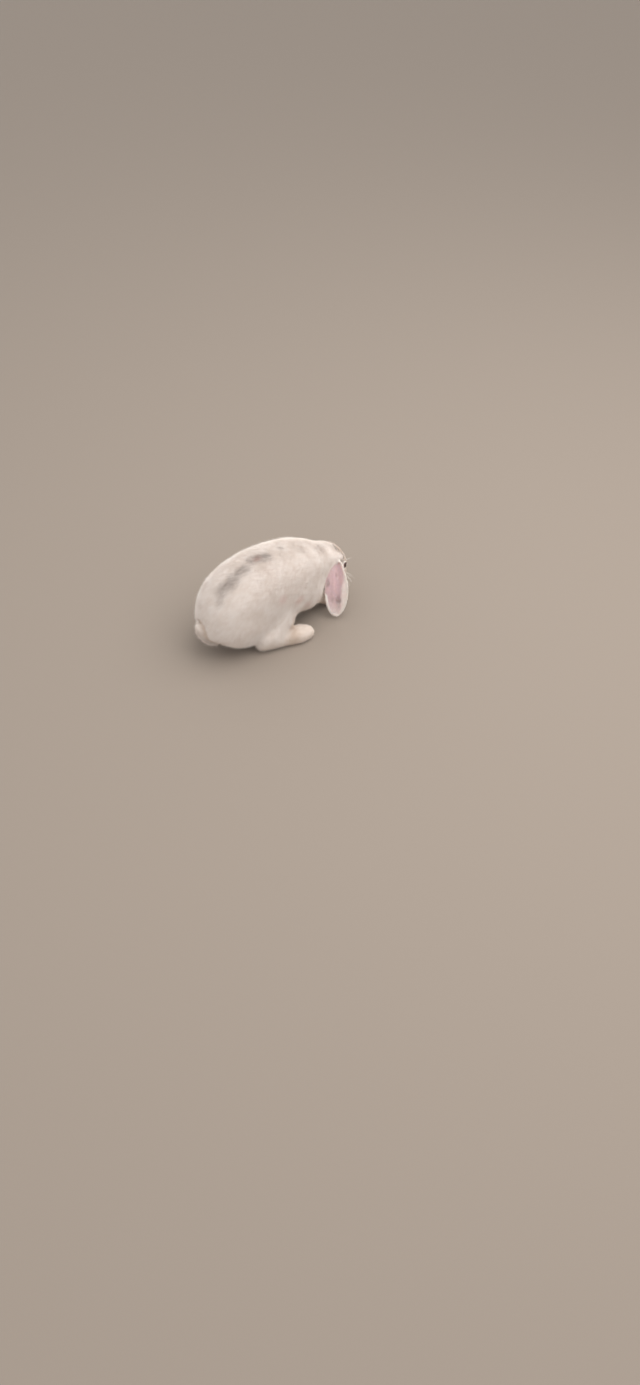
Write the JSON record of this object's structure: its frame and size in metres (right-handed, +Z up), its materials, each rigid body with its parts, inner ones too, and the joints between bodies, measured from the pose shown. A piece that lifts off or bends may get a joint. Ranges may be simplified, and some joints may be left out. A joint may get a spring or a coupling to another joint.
{
  "type": "lop rabbit model",
  "caption": "Life-size still model of a white lop rabbit crouching with its head lowered, drooping ears and an upturned tail.",
  "frame": {"origin": "on the floor under the middle of the model's box", "axes": "+Z up, the rabbit faces -Y, its left side is +X"},
  "size_m": [0.174, 0.335, 0.1708],
  "materials": {
    "coat": "soft dense fur, off-white",
    "ear": "thin pink skin under short hair",
    "eye": "wet gloss, dark brown"
  },
  "bodies": {
    "root": {"head": "coat", "neck": "coat", "trunk": "coat", "tail": "coat", "thigh_left": "coat", "thigh_right": "coat", "hind_foot_left": "coat", "hind_foot_right": "coat", "foreleg_left": "coat", "foreleg_right": "coat", "forepaw_left": "coat", "forepaw_right": "coat", "ear_left": "ear", "ear_right": "ear", "eye_left": "eye", "eye_right": "eye"}
  },
  "joints": []
}
